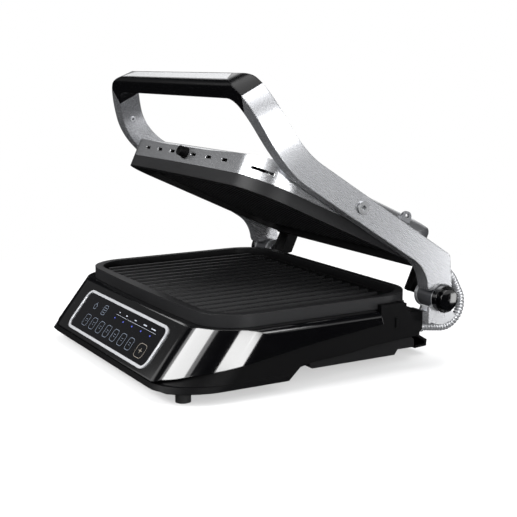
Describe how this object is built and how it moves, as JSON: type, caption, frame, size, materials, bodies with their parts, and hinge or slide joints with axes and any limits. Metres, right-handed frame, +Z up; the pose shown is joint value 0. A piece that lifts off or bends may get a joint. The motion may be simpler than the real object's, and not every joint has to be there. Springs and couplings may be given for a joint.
{
  "type": "electric contact grill",
  "caption": "Electric contact grill, part open: ribbed plates, sloped touch panel, floating lid on a looped handle, drip tray.",
  "frame": {"origin": "on the table, under the middle of the whole object's box", "axes": "+Z up, -Y towards the user, at the front with the touch panel; +X to the right-hand side seen from the front, where the release button is"},
  "size_m": [0.3646, 0.3291, 0.2831],
  "materials": {
    "gloss_black": "high gloss",
    "matte_black": "fine satin texture",
    "rubber": "matte",
    "steel_screw": "plated",
    "chrome": "polished",
    "panel_glass": "black backed, polished",
    "circuit_board": "lacquered board",
    "ceramic": "moulded",
    "plate_cast": "dark non-stick coating, satin",
    "heater_sheath": "heat-stained",
    "reflector": "bright rolled",
    "brass": "plain",
    "brushed_metal": "brushed lengthwise",
    "bright_steel": "pressed, bright",
    "dark_metal": "satin dark grey"
  },
  "bodies": {
    "base": {"base_shell": "matte_black", "gloss_housing": "gloss_black", "bottom_cover": "matte_black", "feet": "rubber", "base_screws": "steel_screw", "panel_frame": "chrome", "panel_glass": "panel_glass", "control_board": "circuit_board", "terminal_block": "ceramic", "lower_plate": "plate_cast", "lower_heater": "heater_sheath", "lower_reflector": "reflector", "lower_sensor": "brass", "hinge_bracket_right": "bright_steel", "hinge_bracket_left": "bright_steel", "hinge_pin_right": "steel_screw", "hinge_pin_left": "steel_screw", "bracket_screws": "steel_screw", "hinge_collar_right": "gloss_black", "hinge_collar_left": "gloss_black", "button_spring": "steel_screw", "hinge_cap": "gloss_black", "conduit_gland": "bright_steel", "conduit": "bright_steel", "cord_gland": "matte_black"},
    "drip_tray": {"drip_tray": "matte_black"},
    "arms": {"arm_right": "brushed_metal", "arm_left": "brushed_metal", "arm_cover_right": "matte_black", "arm_cover_left": "matte_black", "handle_grip": "gloss_black", "handle_liner": "matte_black", "handle_trim": "brushed_metal", "arm_screws": "steel_screw", "pivot_bolts": "steel_screw", "conduit_collar": "bright_steel", "hinge_barrel_right": "dark_metal", "hinge_barrel_left": "dark_metal"},
    "release_button": {"release_button": "gloss_black"},
    "lid": {"lid_shell": "brushed_metal", "upper_plate": "plate_cast", "upper_heater": "heater_sheath", "upper_reflector": "reflector", "upper_sensor": "brass", "lid_bushes": "steel_screw", "lid_screws": "steel_screw", "lid_stop_right": "matte_black", "lid_stop_left": "matte_black", "lid_lug_right": "bright_steel", "lid_lug_left": "bright_steel"},
    "lid_knob": {"lid_knob": "matte_black"}
  },
  "joints": [
    {"name": "arm_hinge", "type": "hinge", "parent": "base", "child": "arms", "pos_m": [0, 0.11954, 0.07], "axis": [-1, 0, 0], "range_deg": [-32, 70], "deforming": ["conduit"]},
    {"name": "lid_tilt", "type": "hinge", "parent": "arms", "child": "lid", "pos_m": [0, 0.02575, 0.16351], "axis": [-1, 0, 0], "range_deg": [-15.8, 7.3]},
    {"name": "release_press", "type": "slide", "parent": "base", "child": "release_button", "axis": [-1, 0, 0], "range_m": [0, 0.003], "stiffness_N_per_m": 800, "springref_m": -0.0005},
    {"name": "lid_knob_turn", "type": "hinge", "parent": "lid", "child": "lid_knob", "pos_m": [0.006, -0.06936, 0.20514], "axis": [0, -0.9078, 0.4195], "range_deg": [0, 90]},
    {"name": "tray_slide", "type": "slide", "parent": "base", "child": "drip_tray", "axis": [0, 1, 0], "range_m": [0, 0.12]}
  ],
  "couplings": [
    {"joint": "lid_tilt", "follows": "arm_hinge", "ratio": -0.225}
  ]
}
